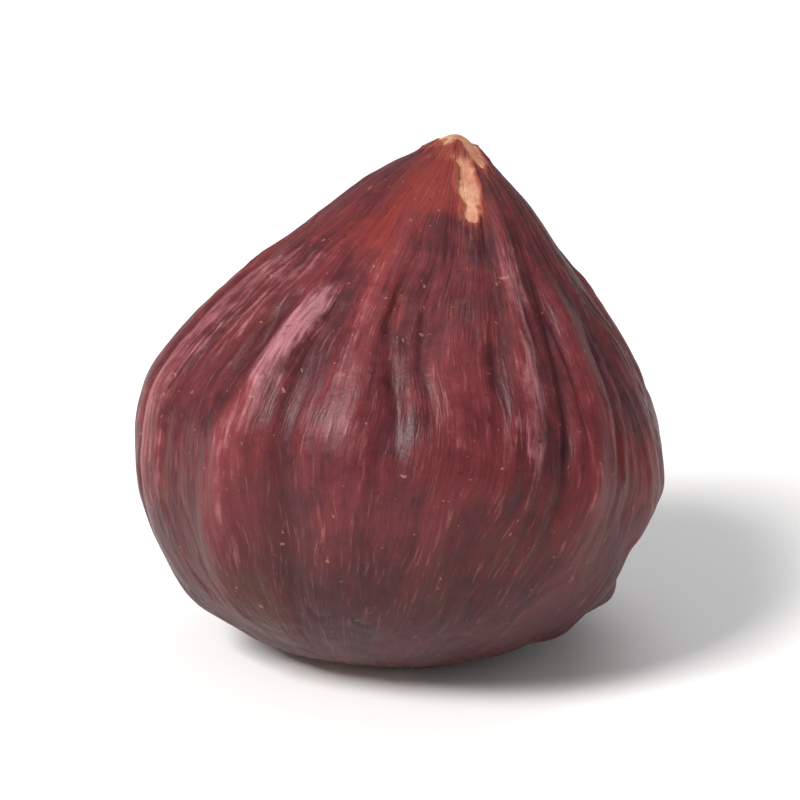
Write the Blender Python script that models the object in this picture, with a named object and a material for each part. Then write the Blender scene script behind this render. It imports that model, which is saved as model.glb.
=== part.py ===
"""A hazelnut kernel: the shelled nut in its brown skin, standing on its flattened base with the tip up.

Metres and radians, +Z up. The origin is the middle of the flat spot that the kernel rests on, under its
weight, and the front is -Y. Three coarse grains round the flat spot touch the same surface. The kernel
grew as one piece, so it is one solid: a ball whose points are moved out to a teardrop, with the swells,
hollows, ribs and furrows of a dried kernel raised from its surface by formulas. A place on it is given by
its azimuth, round from the front towards the right, and by its polar angle, from the tip towards the base.
"""

import math

import bmesh
import bpy
import numpy as np

# The teardrop is a blunt cone that runs into a squarish ball.
WIDEST_RADIUS = 0.00708
TIP_REACH = 0.00815
CONE_HALF_ANGLE = math.radians(48.1)
TIP_ROUNDING = math.radians(6.0)
UPPER_REACH = 0.00793
BASE_REACH = 0.00674
BALL_FULLNESS = 2.14
SHOULDER_BLEND = 0.00138
DEPTH_SHARE = 0.955

# The tip leans to the right and to the back.
LEAN_RIGHT = math.radians(10.1)
LEAN_BACK = math.radians(12.0)

# The kernel rests at this depth below the ball's centre. The base's cut is flat in the middle, a few
# thousandths of a millimetre clear of the surface that it stands on, and rises gently outside that. Its
# edge is rounded off.
CENTRE_HEIGHT = 0.00594
FLAT_CLEARANCE = 0.000003
FLAT_RADIUS = 0.00100
RIM_SLOPE = 0.10
REST_BLEND = 0.00010

# The ball's centre stands this far from the flat spot's middle, to the right and to the back.
CENTRE_RIGHT = 0.00013
CENTRE_BACK = 0.00006

# The end of the embryo's root stands out of the tip as a small nub.
NUB_HEIGHT = 0.00042
NUB_WIDTH = math.radians(5.0)

# Broad swells and hollows: azimuth, polar angle and width in degrees, and metres out.
SWELLS = (
    (90, 142, 30, -0.00052),
    (0, 140, 34, -0.00060),
    (180, 140, 34, -0.00057),
    (-88, 132, 30, 0.00009),
    (-88, 74, 26, -0.00013),
    (86, 82, 22, -0.00010),
    (77, 107, 8, -0.00042),
    (176, 66, 24, -0.00016),
    (-132, 96, 26, 0.00014),
    (140, 112, 18, -0.00018),
    (112, 62, 18, 0.00010),
)

# Ribs, and furrows where they go in: azimuth at the upper and the lower end, polar angle of the two ends
# and half width across, all in degrees, and metres out.
FRONT_RIBS = (
    (-89, -84, 34, 140, 6.0, 0.00010),
    (-72, -70, 40, 138, 6.0, 0.00012),
    (-54, -57, 60, 140, 5.0, -0.00009),
    (-46, -45, 48, 90, 4.5, -0.00015),
    (-34, -51, 46, 150, 5.5, 0.00019),
    (-30, -25, 44, 142, 5.0, -0.00013),
    (-22, -10, 14, 132, 5.5, 0.00013),
    (-13, -4, 36, 102, 4.2, -0.00007),
    (5, 6, 44, 114, 4.8, 0.00010),
    (2, 12, 18, 68, 6.5, -0.00012),
    (30, 21, 10, 106, 4.8, 0.00018),
    (42, 29, 24, 112, 4.5, -0.00011),
    (49, 36, 34, 126, 4.8, 0.00012),
    (66, 48, 40, 126, 5.5, -0.00012),
    (80, 66, 36, 132, 6.5, 0.00011),
)

# Round the back, ribs and furrows follow each other in turn, drawn from a fixed seed.
BACK_RIBS = 16
BACK_START = 96.0
BACK_SPACING = 10.9
BACK_JITTER = 3.0
BACK_SLANT = 7.0
BACK_WIDTH = (4.6, 6.4)
BACK_UPPER_END = (10.0, 38.0)
BACK_LOWER_END = (100.0, 150.0)
BACK_RISE = (0.00007, 0.00017)
BACK_SEED = 11

# The seam between the two seed leaves shows as one wider, longer furrow at the back.
SEAM = (166, 158, 14, 156, 6.0, -0.00020)

# A rib rises and fades over these lengths at its upper and lower end.
RUN_IN = math.radians(16.0)
RUN_OUT = math.radians(38.0)

# Points round the kernel and from tip to base. Rows crowd towards the tip, where the form is finest.
COLUMNS = 112
ROWS = 48
ROW_CROWDING = 1.18

# Three coarse grains of the base reach down past the flat, so that the kernel stands steady on them. Each
# has its point on one point of the ball, given by column, round from the front, and row, from the tip.
LOW_GRAINS = ((51, 40), (81, 46), (28, 42))
GRAIN_WIDTH = math.radians(4.0)

# Rays within this angle of running away from the cone are taken as never meeting it.
NEVER_MEETS = 0.3
FAR_AWAY = 0.05

SKIN_COLOUR = (0.176, 0.050, 0.046, 1.0)
SKIN_ROUGHNESS = 0.52


def smooth_rise(value, low, high):
    """0 below low, 1 above high, and an S-shaped rise between them."""
    share = np.clip((value - low) / (high - low), 0.0, 1.0)
    return share * share * (3.0 - 2.0 * share)


def soft_minimum(first, second, blend):
    """The smaller of two values, rounded off where they are within blend of each other."""
    share = np.clip(0.5 + 0.5 * (second - first) / blend, 0.0, 1.0)
    return second + (first - second) * share - blend * share * (1.0 - share)


def direction(azimuth, polar):
    """Unit vectors that point to each azimuth and polar angle, before the kernel leans."""
    level = np.sin(polar)
    return np.stack([level * np.sin(azimuth), -level * np.cos(azimuth), np.cos(polar)], axis=-1)


def cone_reach(polar):
    """How far out each ray meets a cone whose apex is the tip, with the apex rounded off."""
    rounded = np.sqrt(polar**2 + TIP_ROUNDING**2) - TIP_ROUNDING
    turn = rounded + CONE_HALF_ANGLE
    meets = turn < math.pi - NEVER_MEETS
    met_at = TIP_REACH * math.sin(CONE_HALF_ANGLE) / np.sin(np.where(meets, turn, 1.0))
    return np.where(meets, met_at, FAR_AWAY)


def ball_reach(polar):
    """How far out each ray meets a superellipse that is taller above its widest ring than below it."""
    along = np.where(polar < math.pi / 2, UPPER_REACH, BASE_REACH)
    level_share = np.abs(np.sin(polar) / WIDEST_RADIUS) ** BALL_FULLNESS
    upright_share = np.abs(np.cos(polar) / along) ** BALL_FULLNESS
    return (level_share + upright_share) ** (-1.0 / BALL_FULLNESS)


def bump(outward, azimuth, polar, width):
    """A round bump of height 1: a bell of the angle between each direction and the bump's middle."""
    angle = np.arccos(np.clip(outward @ direction(azimuth, polar), -1.0, 1.0))
    return np.exp(-((angle / width) ** 2))


def swell_height(outward):
    """The broad swells and hollows, added up."""
    height = np.zeros(len(outward))
    for azimuth, polar, width, out in SWELLS:
        height += out * bump(outward, *np.radians((azimuth, polar, width)))
    return height


def back_ribs():
    """Ribs and furrows in turn round the back, each with its own place, slant, length, width and height."""
    draw = np.random.default_rng(BACK_SEED)
    ribs = []
    for number in range(BACK_RIBS):
        upper = BACK_START + BACK_SPACING * number + draw.uniform(-BACK_JITTER, BACK_JITTER)
        lower = upper + draw.uniform(-BACK_SLANT, BACK_SLANT)
        ends = draw.uniform(*BACK_UPPER_END), draw.uniform(*BACK_LOWER_END)
        width = draw.uniform(*BACK_WIDTH)
        side = 1 if number % 2 == 0 else -1
        ribs.append((upper, lower, *ends, width, side * draw.uniform(*BACK_RISE)))
    return ribs


def rib_height(azimuth, polar, rib):
    """A bell across a line that slants from the rib's upper end to its lower end and fades at both."""
    upper, lower, start, end, width = np.radians(rib[:5])
    middle = upper + (lower - upper) * np.clip((polar - start) / (end - start), 0.0, 1.0)
    off = np.arctan2(np.sin(azimuth - middle), np.cos(azimuth - middle))
    along = smooth_rise(polar, start, start + RUN_IN) * (1.0 - smooth_rise(polar, end - RUN_OUT, end))
    return rib[5] * np.exp(-((off / width) ** 2)) * along


def all_rib_height(azimuth, polar):
    """The height of every rib and furrow, added up."""
    height = np.zeros(len(azimuth))
    for rib in (*FRONT_RIBS, *back_ribs(), SEAM):
        height += rib_height(azimuth, polar, rib)
    return height


def leaning(points):
    """Points turned about the ball's centre, so that the tip leans to the right and back."""
    back_cos, back_sin = math.cos(LEAN_BACK), math.sin(LEAN_BACK)
    right_cos, right_sin = math.cos(LEAN_RIGHT), math.sin(LEAN_RIGHT)
    turn_back = np.array([[1, 0, 0], [0, back_cos, back_sin], [0, -back_sin, back_cos]])
    turn_right = np.array([[right_cos, 0, right_sin], [0, 1, 0], [-right_sin, 0, right_cos]])
    return points @ (turn_right @ turn_back).T


def grid_polar(row_share):
    """The polar angle of a row, given as a share of the way from tip to base."""
    return math.pi * row_share**ROW_CROWDING


def low_grains(outward):
    """A cone on the direction of each low grain, 1 at its point and 0 from its width on."""
    height = np.zeros(len(outward))
    for column, row in LOW_GRAINS:
        point = direction(2.0 * math.pi * column / COLUMNS, grid_polar(row / ROWS))
        angle = np.arccos(np.clip(outward @ point, -1.0, 1.0))
        height = np.maximum(height, 1.0 - angle / GRAIN_WIDTH)
    return height


def cut_at_base(reach, outward, rays):
    """Reach shortened to the base's cut, then let down again to the rest plane on the low grains."""
    to_plane = CENTRE_HEIGHT / np.maximum(-rays[:, 2], CENTRE_HEIGHT / FAR_AWAY)
    met_at = rays[:, :2] * to_plane[:, None] + np.array([CENTRE_RIGHT, CENTRE_BACK])
    rise = FLAT_CLEARANCE + RIM_SLOPE * np.maximum(np.hypot(met_at[:, 0], met_at[:, 1]) - FLAT_RADIUS, 0.0)
    to_cut = to_plane * (1.0 - rise / CENTRE_HEIGHT)
    reach = soft_minimum(reach, to_cut, REST_BLEND)
    return reach + (to_plane - reach) * low_grains(outward)


def kernel_surface(azimuth, polar):
    """Points of the surface: each lies out from the centre along its own direction, up to the base's cut."""
    outward = direction(azimuth, polar)
    reach = soft_minimum(cone_reach(polar), ball_reach(polar), SHOULDER_BLEND)
    reach += swell_height(outward) + all_rib_height(azimuth, polar)
    reach += NUB_HEIGHT * bump(outward, 0.0, 0.0, NUB_WIDTH)
    rays = leaning(outward * np.array([1.0, DEPTH_SHARE, 1.0]))
    reach = cut_at_base(reach, outward, rays)
    return rays * reach[:, None] + np.array([CENTRE_RIGHT, CENTRE_BACK, CENTRE_HEIGHT])


def ball_angles(vertices):
    """The azimuth and polar angle of each point of a ball, with its rows crowded towards the tip."""
    places = np.array([vertex.co for vertex in vertices])
    azimuth = np.arctan2(places[:, 0], -places[:, 1])
    polar = np.arccos(np.clip(places[:, 2], -1.0, 1.0))
    return azimuth, grid_polar(polar / math.pi)


def skin_material():
    """The brown skin: dull, with a faint gloss."""
    material = bpy.data.materials.new("kernel_skin")
    material.use_nodes = True
    shader = material.node_tree.nodes["Principled BSDF"]
    shader.inputs["Base Color"].default_value = SKIN_COLOUR
    shader.inputs["Roughness"].default_value = SKIN_ROUGHNESS
    shader.inputs["Metallic"].default_value = 0.0
    return material


def build_kernel():
    """A unit ball whose points are moved to the kernel's surface."""
    ball = bmesh.new()
    bmesh.ops.create_uvsphere(ball, u_segments=COLUMNS, v_segments=ROWS, radius=1.0)
    azimuth, polar = ball_angles(ball.verts)
    for vertex, place in zip(ball.verts, kernel_surface(azimuth, polar)):
        vertex.co = place
    bmesh.ops.recalc_face_normals(ball, faces=ball.faces)
    mesh = bpy.data.meshes.new("kernel")
    ball.to_mesh(mesh)
    ball.free()
    mesh.shade_smooth()
    mesh.materials.append(skin_material())
    kernel = bpy.data.objects.new("kernel", mesh)
    bpy.context.scene.collection.objects.link(kernel)


for startup_object in list(bpy.data.objects):
    bpy.data.objects.remove(startup_object)
build_kernel()
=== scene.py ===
"""The finished look of one hazelnut kernel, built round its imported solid. Metres and radians, +Z up."""

import math

import bpy
import numpy as np
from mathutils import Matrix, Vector


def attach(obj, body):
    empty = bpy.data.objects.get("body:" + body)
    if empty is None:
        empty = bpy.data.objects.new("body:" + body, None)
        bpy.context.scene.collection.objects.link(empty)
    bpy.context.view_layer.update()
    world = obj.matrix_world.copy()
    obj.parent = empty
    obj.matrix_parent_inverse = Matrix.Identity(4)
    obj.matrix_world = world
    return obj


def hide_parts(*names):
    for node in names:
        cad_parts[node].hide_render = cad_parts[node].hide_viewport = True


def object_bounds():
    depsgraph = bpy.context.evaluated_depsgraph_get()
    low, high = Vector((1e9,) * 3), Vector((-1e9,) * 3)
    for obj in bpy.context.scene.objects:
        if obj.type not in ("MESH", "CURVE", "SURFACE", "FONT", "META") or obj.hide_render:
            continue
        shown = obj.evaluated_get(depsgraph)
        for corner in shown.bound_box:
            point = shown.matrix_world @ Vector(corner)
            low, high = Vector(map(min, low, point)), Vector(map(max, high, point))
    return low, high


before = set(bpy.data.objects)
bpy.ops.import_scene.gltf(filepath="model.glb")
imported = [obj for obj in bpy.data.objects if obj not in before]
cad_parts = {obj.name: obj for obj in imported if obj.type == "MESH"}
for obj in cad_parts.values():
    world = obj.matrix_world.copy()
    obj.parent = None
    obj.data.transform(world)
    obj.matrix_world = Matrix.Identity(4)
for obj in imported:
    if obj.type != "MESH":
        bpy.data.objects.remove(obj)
cad_low, cad_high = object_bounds()

# The kernel: two seed leaves and the end of the embryo's root, in the thin brown skin that has grown onto
# them. It is one body, shaped by growth and drying: a teardrop whose skin is drawn into ribs, furrows and
# fine creases that run from the base and meet at the tip, where the skin has worn off the pale flesh.

# The teardrop, as the solid has it: a blunt cone that runs into a squarish ball, with a nub at the tip, and
# leans. Rays nearly parallel to the cone count as meeting it far away.
WIDEST_RADIUS = 0.00708
TIP_REACH = 0.00815
CONE_HALF_ANGLE = math.radians(48.1)
TIP_ROUNDING = math.radians(6.0)
UPPER_REACH = 0.00793
BASE_REACH = 0.00674
BALL_FULLNESS = 2.14
SHOULDER_BLEND = 0.00138
DEPTH_SHARE = 0.955
LEAN_RIGHT = math.radians(10.1)
LEAN_BACK = math.radians(12.0)
CENTRE = np.array([0.00013, 0.00006, 0.00594])
NUB_HEIGHT = 0.00042
NUB_WIDTH = math.radians(5.0)
NEVER_MEETS = 0.3
FAR_AWAY = 0.05

# The cut at the base, as the solid has it: flat in the middle, with a gently rising rim, and three low
# grains that the kernel stands on, each at its azimuth and polar angle in degrees.
FLAT_CLEARANCE = 0.000003
FLAT_RADIUS = 0.00100
RIM_SLOPE = 0.10
REST_BLEND = 0.00010
LOW_GRAINS = ((163.93, 145.16), (-99.64, 171.18), (90.0, 153.76))
GRAIN_WIDTH = math.radians(4.0)

# Broad swells and hollows: azimuth round from the front, polar angle from the tip and width, in degrees,
# and metres out.
SWELLS = (
    (90, 142, 30, -0.00052),
    (0, 140, 34, -0.00060),
    (180, 140, 34, -0.00057),
    (-88, 132, 30, 0.00009),
    (-88, 74, 26, -0.00013),
    (86, 82, 22, -0.00010),
    (77, 107, 8, -0.00042),
    (176, 66, 24, -0.00016),
    (-132, 96, 26, 0.00014),
    (140, 112, 18, -0.00018),
    (112, 62, 18, 0.00010),
)

# Dents and knobs finer than the solid's, written the same way: the notch low on the right flank, the knobs
# above and under it, and small unevennesses all round.
SMALL_SWELLS = (
    (83, 107, 6.5, -0.00044),
    (94, 107, 5.0, -0.00012),
    (92, 96, 5.0, 0.00008),
    (83, 119, 6.0, 0.00026),
    (74, 131, 5.5, 0.00018),
    (60, 154, 6.0, -0.00008),
    (64, 104, 4.0, -0.00016),
    (-80, 136, 7.0, 0.00013),
    (-58, 146, 6.0, -0.00009),
    (34, 138, 7.0, -0.00008),
    (-24, 74, 7.0, -0.00005),
    (52, 70, 7.0, 0.00005),
    (128, 84, 6.0, -0.00010),
    (-166, 118, 7.0, -0.00010),
    (-120, 66, 7.0, 0.00007),
    (-98, 118, 5.5, -0.00009),
)

# Ribs, and furrows where they go in: azimuth at the upper and the lower end, polar angle of the two ends
# and half width across, all in degrees, and metres out.
FRONT_RIBS = (
    (-89, -84, 34, 140, 6.0, 0.00010),
    (-72, -70, 40, 138, 6.0, 0.00012),
    (-54, -57, 60, 140, 5.0, -0.00009),
    (-46, -45, 48, 90, 4.5, -0.00015),
    (-34, -51, 46, 150, 5.5, 0.00019),
    (-30, -25, 44, 142, 5.0, -0.00013),
    (-22, -10, 14, 132, 5.5, 0.00013),
    (-13, -4, 36, 102, 4.2, -0.00007),
    (5, 6, 44, 114, 4.8, 0.00010),
    (2, 12, 18, 68, 6.5, -0.00012),
    (30, 21, 10, 106, 4.8, 0.00018),
    (42, 29, 24, 112, 4.5, -0.00011),
    (49, 36, 34, 126, 4.8, 0.00012),
    (66, 48, 40, 126, 5.5, -0.00012),
    (80, 66, 36, 132, 6.5, 0.00011),
)
SEAM = (166, 158, 14, 156, 6.0, -0.00020)
BACK_RIB_COUNT = 16
FIRST_BACK_RIB = 96.0
BACK_RIB_STEP = 10.9
RUN_IN = math.radians(16.0)
RUN_OUT = math.radians(38.0)
FULL_RIB = 0.00016

# Narrow creases of the front, written like the ribs, finer than the solid can hold.
FRONT_CREASES = (
    (-48, -44, 52, 84, 2.2, -0.00019),
    (-30, -26, 50, 128, 1.7, -0.00008),
    (-13, -4, 38, 104, 1.5, -0.00013),
    (-3, 1, 30, 96, 1.3, -0.00006),
    (17, 13, 46, 108, 1.8, -0.00009),
    (15, 27, 96, 138, 1.9, -0.00010),
    (38, 29, 40, 104, 1.7, -0.00010),
    (58, 44, 44, 120, 1.9, -0.00010),
    (-60, -62, 50, 130, 1.8, -0.00009),
    (-80, -78, 44, 126, 1.8, -0.00008),
)
FINE_CREASE_COUNT = 120

# How far the strands of the skin and its papery grain stand out.
STRAND_RELIEF = 0.000034
PAPER_RELIEF = 0.000030

# Places where the skin has come off: azimuth, upper and lower polar angle and half width, in degrees.
BARE_PLACES = (
    (0, 0, 0, 4.6),
    (40, 2, 7, 2.6),
    (13, 8, 22, 2.0),
    (152, 56, 66, 2.6),
    (158, 69, 74, 1.3),
    (-138, 109, 115, 1.7),
    (-104, 39, 45, 1.0),
    (118, 124, 128, 1.3),
)
SKIN_THICKNESS = 0.00007
TORN_EDGE_LIFT = 0.00005

# The scar that the kernel was fed through, round the base.
SCAR_WIDTH = math.radians(21.0)
SCAR_DEPTH = 0.00008
SCAR_GRAIN = 0.00009


def smooth_rise(value, low, high):
    """0 below low, 1 above high, and an S-shaped rise between them."""
    share = np.clip((value - low) / (high - low), 0.0, 1.0)
    return share * share * (3.0 - 2.0 * share)


def soft_minimum(first, second, blend):
    """The smaller of two values, rounded off where they are within blend of each other."""
    share = np.clip(0.5 + 0.5 * (second - first) / blend, 0.0, 1.0)
    return second + (first - second) * share - blend * share * (1.0 - share)


def direction(azimuth, polar):
    """Unit vectors that point to each azimuth and polar angle, before the kernel leans."""
    level = np.sin(polar)
    return np.stack([level * np.sin(azimuth), -level * np.cos(azimuth), np.cos(polar)], axis=-1)


def teardrop_reach(polar):
    """How far out each ray goes: to the nearer of a cone and a superellipse, their meeting rounded off."""
    rounded = np.sqrt(polar**2 + TIP_ROUNDING**2) - TIP_ROUNDING
    turn = rounded + CONE_HALF_ANGLE
    meets = turn < math.pi - NEVER_MEETS
    met_at = TIP_REACH * math.sin(CONE_HALF_ANGLE) / np.sin(np.where(meets, turn, 1.0))
    cone = np.where(meets, met_at, FAR_AWAY)
    along = np.where(polar < math.pi / 2, UPPER_REACH, BASE_REACH)
    level_share = np.abs(np.sin(polar) / WIDEST_RADIUS) ** BALL_FULLNESS
    upright_share = np.abs(np.cos(polar) / along) ** BALL_FULLNESS
    return soft_minimum(cone, (level_share + upright_share) ** (-1.0 / BALL_FULLNESS), SHOULDER_BLEND)


def bump(outward, azimuth, polar, width):
    """A round bump of height 1: a bell of the angle between each direction and the bump's middle."""
    angle = np.arccos(np.clip(outward @ direction(azimuth, polar), -1.0, 1.0))
    return np.exp(-((angle / width) ** 2))


def back_ribs():
    """Ribs and furrows in turn round the back, from the same fixed seed as the solid's."""
    draw = np.random.default_rng(11)
    ribs = []
    for number in range(BACK_RIB_COUNT):
        upper = FIRST_BACK_RIB + BACK_RIB_STEP * number + draw.uniform(-3.0, 3.0)
        lower = upper + draw.uniform(-7.0, 7.0)
        ends = draw.uniform(10.0, 38.0), draw.uniform(100.0, 150.0)
        width = draw.uniform(4.6, 6.4)
        side = 1 if number % 2 == 0 else -1
        ribs.append((upper, lower, *ends, width, side * draw.uniform(0.00007, 0.00017)))
    return ribs


def fine_creases():
    """Thin creases and threads all round, most of them sunk in, each with its own place, length and depth."""
    draw = np.random.default_rng(23)
    creases = []
    for _ in range(FINE_CREASE_COUNT):
        upper = draw.uniform(-180.0, 180.0)
        start = draw.uniform(8.0, 90.0)
        end = start + draw.uniform(36.0, 80.0)
        out = draw.choice((-1.0, -1.0, 0.6)) * draw.uniform(0.00002, 0.00008)
        lower = upper + draw.uniform(-6.0, 6.0)
        creases.append((upper, lower, start, min(end, 158.0), draw.uniform(1.1, 2.0), out))
    return creases


def rib_height(azimuth, polar, rib):
    """A bell across a line that slants from the rib's upper end to its lower end and fades at both."""
    upper, lower, start, end, width = np.radians(rib[:5])
    middle = upper + (lower - upper) * np.clip((polar - start) / (end - start), 0.0, 1.0)
    off = np.arctan2(np.sin(azimuth - middle), np.cos(azimuth - middle))
    fade_out = min(RUN_OUT, (end - start) / 2)
    along = smooth_rise(polar, start, start + RUN_IN) * (1.0 - smooth_rise(polar, end - fade_out, end))
    return rib[5] * np.exp(-((off / width) ** 2)) * along


def rib_total(azimuth, polar, ribs):
    """The height of several ribs, added up."""
    height = np.zeros(azimuth.shape)
    for rib in ribs:
        height += rib_height(azimuth, polar, rib)
    return height


def lattice_noise(places, seed):
    """Smooth noise between -1 and 1: a random value at each whole point of space, blended between them."""
    size = 32
    table = np.random.default_rng(seed).uniform(-1.0, 1.0, (size, size, size))
    whole = np.floor(places).astype(int)
    part = places - whole
    part = part**3 * (part * (part * 6.0 - 15.0) + 10.0)
    total = np.zeros(places.shape[:-1])
    for corner in np.ndindex(2, 2, 2):
        share = np.prod(np.where(corner, part, 1.0 - part), axis=-1)
        index = (whole + corner) % size
        total += share * table[index[..., 0], index[..., 1], index[..., 2]]
    return total


def strand_places(azimuth, polar, around, along):
    """Places on a cylinder, so that noise read there runs in strands from tip to base and has no seam."""
    return np.stack([around * np.cos(azimuth), around * np.sin(azimuth), along * polar], axis=-1)


def bare_field(azimuth, polar, tearing):
    """Above 0 where the skin is off: 1 on each bare place's middle line, 0 at its edge, torn by noise."""
    field = np.full(azimuth.shape, -9.0)
    for middle, upper, lower, width in BARE_PLACES:
        turn = azimuth - math.radians(middle)
        across = np.arctan2(np.sin(turn), np.cos(turn)) * np.sin(polar) * (lower > 0)
        beyond = np.maximum(math.radians(upper) - polar, polar - math.radians(lower))
        distance = np.hypot(across, np.maximum(beyond, 0.0))
        field = np.maximum(field, 1.0 - distance / math.radians(width))
    return field + 0.6 * tearing


# The surface's grid: columns round the kernel, and rows that crowd towards the tip.
COLUMNS = 432
ROWS = 216
ROW_CROWDING = 1.18

column_azimuth = 2.0 * math.pi * np.arange(COLUMNS) / COLUMNS
row_polar = math.pi * (np.arange(1, ROWS) / ROWS) ** ROW_CROWDING
azimuth, polar = np.meshgrid(column_azimuth, row_polar)
azimuth = np.append(azimuth.ravel(), [0.0, 0.0])
polar = np.append(polar.ravel(), [0.0, math.pi])
outward = direction(azimuth, polar)

swells = sum(out * bump(outward, *np.radians(spot)) for *spot, out in (*SWELLS, *SMALL_SWELLS))
ribs = rib_total(azimuth, polar, (*FRONT_RIBS, *back_ribs(), SEAM))

# The fine lines meander together, so their azimuth is shifted by slow noise. They thin out at both ends.
meander = np.radians(2.4) * lattice_noise(strand_places(azimuth, polar, 2.2, 2.0), 1)
meander += np.radians(0.8) * lattice_noise(strand_places(azimuth, polar, 6.0, 6.0), 2)
end_fade = smooth_rise(polar, math.radians(4), math.radians(26)) * (
    1.0 - 0.6 * smooth_rise(polar, math.radians(140), math.radians(172))
)
creases = rib_total(azimuth + meander, polar, (*FRONT_CREASES, *fine_creases()))
strands = 0.6 * lattice_noise(strand_places(azimuth + meander, polar, 10.0, 2.6), 3)
strands += 0.4 * lattice_noise(strand_places(azimuth + meander, polar, 21.0, 6.0), 4)
thread_noise = lattice_noise(strand_places(azimuth + 1.6 * meander, polar, 9.0, 2.8), 5)
threads = np.clip(1.0 - 7.0 * np.abs(thread_noise), 0.0, 1.0)
paper = 0.6 * lattice_noise(outward * 9.0, 6) + 0.4 * lattice_noise(outward * 19.0, 7)
grain = lattice_noise(outward * 42.0, 8)

# The bare places with their torn and lifted edge, and the ragged outline of the scar.
edge_noise = 0.6 * lattice_noise(outward * 24.0, 9) + 0.4 * lattice_noise(outward * 50.0, 10)
bare = bare_field(azimuth, polar, edge_noise + 0.5 * strands)
bare_depth = smooth_rise(bare, 0.0, 0.25)
torn_edge = np.exp(-(((bare + 0.22) / 0.2) ** 2))
scar = bump(outward, 0.0, math.pi, SCAR_WIDTH)
scar_field = smooth_rise(scar + 0.25 * edge_noise, 0.35, 0.6)

# How far out the surface lies along each ray, from the teardrop up to the finest relief.
reach = teardrop_reach(polar) + swells + ribs
reach += NUB_HEIGHT * bump(outward, 0.0, 0.0, NUB_WIDTH)
skin_relief = creases + STRAND_RELIEF * (strands - threads) * end_fade + PAPER_RELIEF * paper
reach += skin_relief * (1.0 - 0.8 * bare_depth)
reach += TORN_EDGE_LIFT * torn_edge * smooth_rise(bare, -1.0, -0.3) - SKIN_THICKNESS * bare_depth
scar_grain = SCAR_GRAIN * (0.6 * edge_noise + 0.4 * grain) * scar_field
reach += scar_grain - SCAR_DEPTH * scar_field

# The rays, flattened a little from front to back and then leant back and to the right.
back_cos, back_sin = math.cos(LEAN_BACK), math.sin(LEAN_BACK)
right_cos, right_sin = math.cos(LEAN_RIGHT), math.sin(LEAN_RIGHT)
turn_back = np.array([[1, 0, 0], [0, back_cos, back_sin], [0, -back_sin, back_cos]])
turn_right = np.array([[right_cos, 0, right_sin], [0, 1, 0], [-right_sin, 0, right_cos]])
rays = (outward * np.array([1.0, DEPTH_SHARE, 1.0])) @ (turn_right @ turn_back).T

# The cut at the base, as the solid has it, with the scar's grain standing up from it, and the three low
# grains that the kernel stands on.
to_plane = CENTRE[2] / np.maximum(-rays[:, 2], CENTRE[2] / FAR_AWAY)
from_middle = np.hypot(*(rays[:, :2] * to_plane[:, None] + CENTRE[:2]).T)
cut_rise = FLAT_CLEARANCE + RIM_SLOPE * np.maximum(from_middle - FLAT_RADIUS, 0.0)
cut_rise += 0.5 * (SCAR_GRAIN * scar_field - scar_grain)
reach = soft_minimum(reach, to_plane * (1.0 - cut_rise / CENTRE[2]), REST_BLEND)
low_grains = np.zeros(len(polar))
for spot in np.radians(LOW_GRAINS):
    angle = np.arccos(np.clip(outward @ direction(*spot), -1.0, 1.0))
    low_grains = np.maximum(low_grains, 1.0 - angle / GRAIN_WIDTH)
reach += (to_plane - reach) * low_grains
points = rays * reach[:, None] + CENTRE

# Four-sided faces between the rows, and a fan of triangles round the tip and the base.
row, column = np.meshgrid(np.arange(ROWS - 2), np.arange(COLUMNS), indexing="ij")
beside = (column + 1) % COLUMNS
row, column, beside = row.ravel() * COLUMNS, column.ravel(), beside.ravel()
quads = np.stack([row + column, row + COLUMNS + column, row + COLUMNS + beside, row + beside], axis=1)
ring = np.arange(COLUMNS)
ring_beside = (ring + 1) % COLUMNS
tip_point, base_point = len(points) - 2, len(points) - 1
last_row = (ROWS - 2) * COLUMNS
tip_fan = np.stack([np.full(COLUMNS, tip_point), ring, ring_beside], axis=1)
base_fan = np.stack([np.full(COLUMNS, base_point), last_row + ring_beside, last_row + ring], axis=1)

nut_mesh = bpy.data.meshes.new("hazelnut")
nut_mesh.from_pydata(points.tolist(), [], [*tip_fan.tolist(), *quads.tolist(), *base_fan.tolist()])
nut_mesh.shade_smooth()
nut = bpy.data.objects.new("hazelnut", nut_mesh)
bpy.context.scene.collection.objects.link(nut)

# Where the skin is a warm brown: azimuth, polar angle and width, in degrees, and how much.
WARM_SPOTS = (
    (-14, 17, 8, 1.0), (-30, 32, 10, 0.7), (-62, 34, 13, 0.4), (28, 22, 10, 0.6), (-19, 50, 9, 0.6),
    (24, 60, 8, 0.6), (60, 84, 12, 0.8), (0, 6, 8, 0.8), (-70, 104, 12, 0.45), (45, 104, 12, 0.5),
    (-46, 134, 18, 0.8), (-78, 92, 14, 0.4), (150, 36, 16, 0.7), (-140, 52, 16, 0.6), (110, 90, 14, 0.5),
    (-172, 100, 13, 0.5), (-108, 84, 12, 0.5),
)

# Where the skin is rubbed pale, lengthwise, with a painted highlight on the upper-left ridge in the first
# three:
# written like the ribs, with how much in place of metres out.
SCUFFS_AND_HIGHLIGHTS = (
    (-32, -38, 40, 84, 5.0, 1.05), (-35, -38, 48, 84, 3.4, 0.6), (-36, -46, 66, 150, 4.5, 0.25),
    (29, 21, 22, 108, 4.2, 0.75), (-22, -14, 30, 110, 3.0, 0.3), (4, 7, 56, 112, 3.5, 0.3),
    (-68, -74, 34, 140, 11.0, 0.5), (-52, -58, 30, 90, 7.0, 0.5), (48, 38, 50, 120, 3.5, 0.2),
    (84, 74, 60, 130, 7.0, 0.1), (118, 112, 30, 120, 5.0, 0.5), (140, 146, 40, 130, 6.0, 0.45),
    (172, 176, 30, 140, 6.0, 0.6), (-158, -150, 30, 120, 6.0, 0.5), (-128, -134, 40, 140, 7.0, 0.5),
    (-104, -100, 50, 140, 6.0, 0.45),
)
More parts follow.
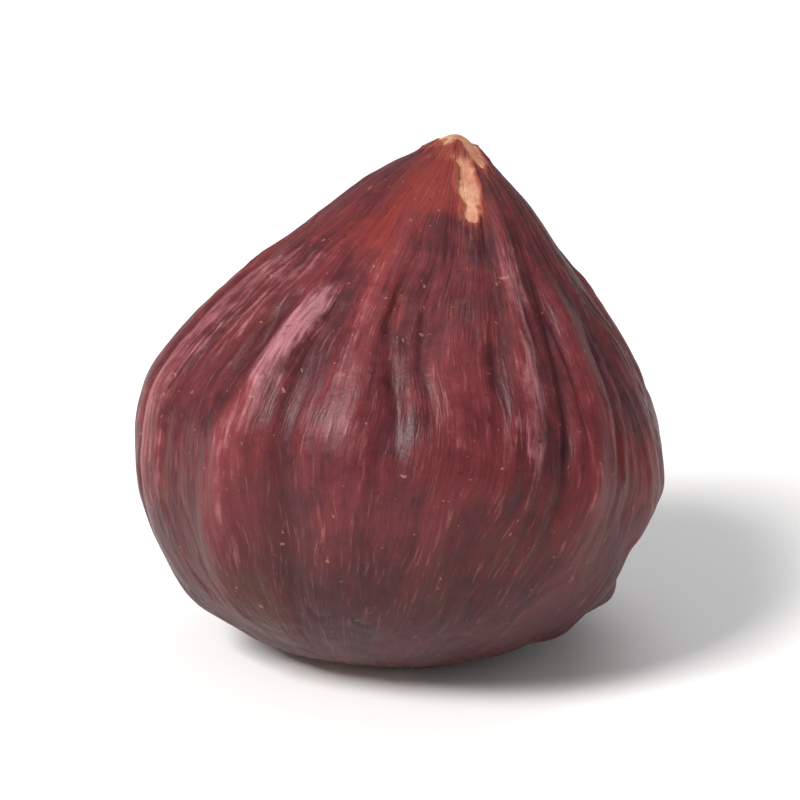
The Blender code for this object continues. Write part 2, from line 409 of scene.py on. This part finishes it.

# What the skin's finish follows over the surface, kept with the mesh: how high the ribs stand, how warm and
# how scuffed the skin is and where a highlight is painted, where it is off, the scar, the way from tip to
# base, and the strands' own places.
warmth = sum(share * bump(outward, *np.radians(spot)) for *spot, share in WARM_SPOTS)
scuff_and_highlight = rib_total(azimuth + meander, polar, SCUFFS_AND_HIGHLIGHTS)
height = (ribs + creases) / FULL_RIB + 0.35 * strands
for name, values in (
    ("rise", height), ("warmth", warmth), ("scuff_and_highlight", scuff_and_highlight), ("bare", bare), ("scar", scar_field),
    ("polar", polar / math.pi),
):
    layer = nut_mesh.attributes.new(name, "FLOAT", "POINT")
    layer.data.foreach_set("value", values.astype(np.float32))
strand_layer = nut_mesh.attributes.new("strand", "FLOAT_VECTOR", "POINT")
strand_vectors = strand_places(azimuth + meander, polar, 1.0, 0.3)
strand_layer.data.foreach_set("vector", strand_vectors.astype(np.float32).ravel())


def colour(red, green, blue):
    """A linear colour from the 0 to 255 values that a screen shows."""
    shares = [part / 255 for part in (red, green, blue)]
    linear = [s / 12.92 if s <= 0.04045 else ((s + 0.055) / 1.055) ** 2.4 for s in shares]
    return (*linear, 1.0)


class Field:
    """A number that varies over a surface. Arithmetic on it adds Math nodes to its material."""

    def __init__(self, finish, socket):
        self.finish = finish
        self.socket = socket

    def __add__(self, other):
        return self.finish.math("ADD", self, other)

    def __sub__(self, other):
        return self.finish.math("SUBTRACT", self, other)

    def __rsub__(self, other):
        return self.finish.math("SUBTRACT", other, self)

    def __mul__(self, other):
        return self.finish.math("MULTIPLY", self, other)

    __radd__ = __add__
    __rmul__ = __mul__

    def rise(self, low, high):
        """0 below low, 1 above high, and an S-shaped rise between them."""
        inputs = {"Value": self, "From Min": low, "From Max": high}
        return self.finish.node("MapRange", {"interpolation_type": "SMOOTHSTEP"}, inputs, "Result")


class Finish:
    """A material in the making: its nodes, and the shader that they feed."""

    def __init__(self, name):
        self.material = bpy.data.materials.new(name)
        self.material.use_nodes = True
        self.tree = self.material.node_tree
        self.shader = self.tree.nodes["Principled BSDF"]

    def node(self, kind, settings, inputs, output):
        """Adds a node: its settings first, then values or links on its inputs. Returns the named output."""
        made = self.tree.nodes.new("ShaderNode" + kind)
        for name, value in settings.items():
            setattr(made, name, value)
        for name, value in inputs.items():
            self.feed(made.inputs[name], value)
        return Field(self, made.outputs[output])

    def feed(self, socket, value):
        """Sets a socket to a value, or links it to a field."""
        if isinstance(value, Field):
            self.tree.links.new(value.socket, socket)
        else:
            socket.default_value = value

    def math(self, operation, first, second):
        """The sum, difference or product of two numbers, either of which may be a field."""
        return self.node("Math", {"operation": operation}, {0: first, 1: second}, "Value")

    def layer(self, name, output="Fac"):
        """A number, or a vector, kept with the mesh."""
        return self.node("Attribute", {"attribute_name": name}, {}, output)

    def noise(self, places, scale, detail=4.0, roughness=0.55, stretch=(1.0, 1.0, 1.0)):
        """Noise from 0 to 1 at places that are first stretched."""
        stretched = self.node("VectorMath", {"operation": "MULTIPLY"}, {0: places, 1: stretch}, "Vector")
        inputs = {"Vector": stretched, "Scale": scale, "Detail": detail, "Roughness": roughness}
        return self.node("TexNoise", {}, inputs, "Fac")

    def mix(self, share, under, over):
        """A colour: under where share is 0, over where it is 1."""
        settings = {"data_type": "RGBA", "clamp_factor": True}
        return self.node("Mix", settings, {0: share, 6: under, 7: over}, 2)


skin = Finish("kernel_skin")
place = skin.node("TexCoord", {}, {}, "Object")
strand = skin.layer("strand", "Vector")
rib_rise = skin.layer("rise")
polar_share = skin.layer("polar")

# Three noises run in strands, from broad bands to single fibres. The others are alike in all directions,
# and at a scale of 1000 their blotches are about a millimetre across.
bands = skin.noise(strand, 5.0, 3.0, 0.55, (1.0, 1.0, 0.8))
streaks = skin.noise(strand, 15.0, 4.0, 0.6, (1.0, 1.0, 0.55))
fibres = skin.noise(strand, 60.0, 3.0, 0.6, (1.0, 1.0, 0.4))
blotches = skin.noise(place, 380.0, 4.0, 0.6)
mottle = skin.noise(place, 1500.0, 5.0, 0.68)
specks = skin.noise(place, 4600.0, 2.0, 0.5)

# The skin's colour, laid on in turn: dark and lighter brown, red blotches, painted shade in the furrows,
# lighter ribs, warm brown spots, pale scuffs with a painted highlight on the upper-left ridge, dark mottling
# low down, painted shade over the lower half, some olive, light and dark fibres, and specks.
tone = (bands - 0.5) * 1.1 + (streaks - 0.5) * 0.6 + (mottle - 0.5) * 1.0 + 0.5
skin_colour = skin.mix(tone.rise(0.2, 0.8), colour(62, 21, 28), colour(104, 39, 44))
skin_colour = skin.mix(blotches.rise(0.42, 0.66) * 0.5, skin_colour, colour(96, 29, 30))
# Painted shade: where the rise is below 0, in the furrows and creases, the colour is darkened.
skin_colour = skin.mix((0.0 - rib_rise).rise(0.1, 1.3) * 0.4, skin_colour, colour(58, 27, 35))
skin_colour = skin.mix(rib_rise.rise(0.1, 1.4) * 0.55, skin_colour, colour(136, 56, 60))
warm_share = (skin.layer("warmth") + (mottle - 0.5) * 0.8 + (streaks - 0.5) * 0.9).rise(0.25, 1.1)
skin_colour = skin.mix(warm_share * 0.8, skin_colour, colour(126, 40, 33))
# Pale dust where the skin is rubbed, and a painted highlight on the upper-left ridge, broken up by fibres and
# mottling.
wear_and_highlight = skin.layer("scuff_and_highlight") + (fibres - 0.5) * 1.6 + (mottle - 0.5) * 1.6 + rib_rise * 0.2
dust_and_highlight_share = wear_and_highlight.rise(0.3, 1.35) * (0.58 + (fibres - 0.5) * 1.3)
skin_colour = skin.mix(dust_and_highlight_share, skin_colour, colour(168, 116, 124))
low_share = polar_share.rise(0.5, 0.86) * (mottle + (blotches - 0.5)).rise(0.42, 0.75)
skin_colour = skin.mix(low_share * 0.45, skin_colour, colour(72, 36, 44))
# Painted shade: the lower half is darkened towards the base.
skin_colour = skin.mix(polar_share.rise(0.48, 0.7) * 0.6, skin_colour, colour(52, 16, 19))
olive_share = polar_share.rise(0.42, 0.66) * (blotches - (mottle - 0.5) * 0.5).rise(0.54, 0.7)
skin_colour = skin.mix(olive_share * 0.55, skin_colour, colour(70, 40, 26))
skin_colour = skin.mix(fibres.rise(0.56, 0.74) * 0.3, skin_colour, colour(160, 96, 90))
skin_colour = skin.mix(fibres.rise(0.46, 0.28) * 0.4, skin_colour, colour(46, 18, 24))
skin_colour = skin.mix(specks.rise(0.70, 0.76) * 0.35, skin_colour, colour(190, 138, 114))
skin_colour = skin.mix(specks.rise(0.34, 0.26) * 0.5, skin_colour, colour(40, 16, 18))

# The scar: rough, corky and pale.
scar_share = skin.layer("scar")
scar_colour = skin.mix(mottle.rise(0.35, 0.65), colour(112, 74, 56), colour(176, 138, 104))
skin_colour = skin.mix(scar_share * 0.85, skin_colour, scar_colour)

# Worn skin round the bare places, and the pale flesh in them.
bare_share = skin.layer("bare") + (mottle - 0.5) * 0.5 + (specks - 0.5) * 0.3
thin_share = (bare_share + (streaks - 0.5) * 1.2).rise(-0.75, 0.0)
skin_colour = skin.mix(thin_share * 0.6, skin_colour, colour(150, 76, 56))
flesh_colour = skin.mix(mottle.rise(0.3, 0.7), colour(176, 112, 88), colour(212, 160, 130))
skin_colour = skin.mix(bare_share.rise(-0.15, 0.5), skin_colour, flesh_colour)

# The gloss is faint, and fainter on the flesh and on the scar. Fibres and mottling stand out a little.
skin_roughness = 0.43 + (mottle - 0.5) * 0.3 + bare_share.rise(0.0, 0.2) * 0.14 + scar_share * 0.2
surface_height = fibres * 0.8 + mottle * 0.5 + specks * 0.2
bump_inputs = {"Strength": 0.7, "Distance": 0.00006, "Height": surface_height}
skin_normal = skin.node("Bump", {}, bump_inputs, "Normal")
skin.feed(skin.shader.inputs["Base Color"], skin_colour)
skin.feed(skin.shader.inputs["Roughness"], skin_roughness)
skin.feed(skin.shader.inputs["Normal"], skin_normal)
skin.shader.inputs["Specular IOR Level"].default_value = 0.25
nut_mesh.materials.append(skin.material)

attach(nut, "root")
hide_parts("kernel")

# The floor: a plain, matt, almost white board, wide enough to fill every view. It lies a hair below the
# grains that the kernel stands on.
FLOOR_HALF_WIDTH = 1.5
FLOOR_HEIGHT = -0.00001

floor_mesh = bpy.data.meshes.new("floor")
corner_signs = ((-1, -1), (1, -1), (1, 1), (-1, 1))
floor_corners = [(x * FLOOR_HALF_WIDTH, y * FLOOR_HALF_WIDTH, FLOOR_HEIGHT) for x, y in corner_signs]
floor_mesh.from_pydata(floor_corners, [], [(0, 1, 2, 3)])
floor = bpy.data.objects.new("floor", floor_mesh)
bpy.context.scene.collection.objects.link(floor)
board = Finish("pale_board")
board.shader.inputs["Base Color"].default_value = colour(246, 246, 246)
board.shader.inputs["Roughness"].default_value = 0.9
board.shader.inputs["Specular IOR Level"].default_value = 0.1
floor_mesh.materials.append(board.material)

# The light: a studio tent. Pale light comes from all round, a soft lamp stands high on the left in front, a
# weaker one on the right, and one above behind. Distances are from the kernel's middle.
TENT_STRENGTH = 0.34
nut_middle = (cad_low + cad_high) / 2


def soft_lamp(name, azimuth, elevation, distance, width, power, tint):
    """A square lamp at an azimuth round from the front and an elevation, in degrees, facing the kernel."""
    lamp_data = bpy.data.lights.new(name, "AREA")
    lamp_data.shape = "SQUARE"
    lamp_data.size = width
    lamp_data.energy = power
    lamp_data.color = tint
    lamp = bpy.data.objects.new(name, lamp_data)
    turn, lift = math.radians(azimuth), math.radians(elevation)
    away = Vector((math.sin(turn) * math.cos(lift), -math.cos(turn) * math.cos(lift), math.sin(lift)))
    lamp.location = nut_middle + away * distance
    lamp.rotation_euler = away.to_track_quat("Z", "Y").to_euler()
    bpy.context.scene.collection.objects.link(lamp)


soft_lamp("key_lamp", -48, 44, 0.30, 0.10, 1.15, (1.0, 0.98, 0.96))
soft_lamp("fill_lamp", 40, 34, 0.36, 0.24, 0.06, (0.97, 0.98, 1.0))
soft_lamp("top_lamp", 150, 70, 0.32, 0.22, 0.30, (1.0, 1.0, 1.0))

world = bpy.data.worlds.new("studio")
world.use_nodes = True
world.node_tree.nodes["Background"].inputs["Color"].default_value = (1.0, 1.0, 1.0, 1.0)
world.node_tree.nodes["Background"].inputs["Strength"].default_value = TENT_STRENGTH
bpy.context.scene.world = world
bpy.context.scene.view_settings.view_transform = "Standard"

# The camera: a long lens in front, twenty degrees above the horizon, at the photograph's angle. The frame's
# width is measured at the kernel's middle.
CAMERA_ELEVATION = math.radians(20.0)
CAMERA_LENS = 150.0
FRAME_WIDTH = 0.0212

camera_data = bpy.data.cameras.new("camera")
camera_data.lens = CAMERA_LENS
camera_data.clip_start = 0.005
camera_data.clip_end = 5.0
camera = bpy.data.objects.new("camera", camera_data)
camera_distance = FRAME_WIDTH * CAMERA_LENS / camera_data.sensor_width
towards_camera = Vector((0.0, -math.cos(CAMERA_ELEVATION), math.sin(CAMERA_ELEVATION)))
camera.location = nut_middle + towards_camera * camera_distance
camera.rotation_euler = towards_camera.to_track_quat("Z", "Y").to_euler()
bpy.context.scene.collection.objects.link(camera)
bpy.context.scene.camera = camera
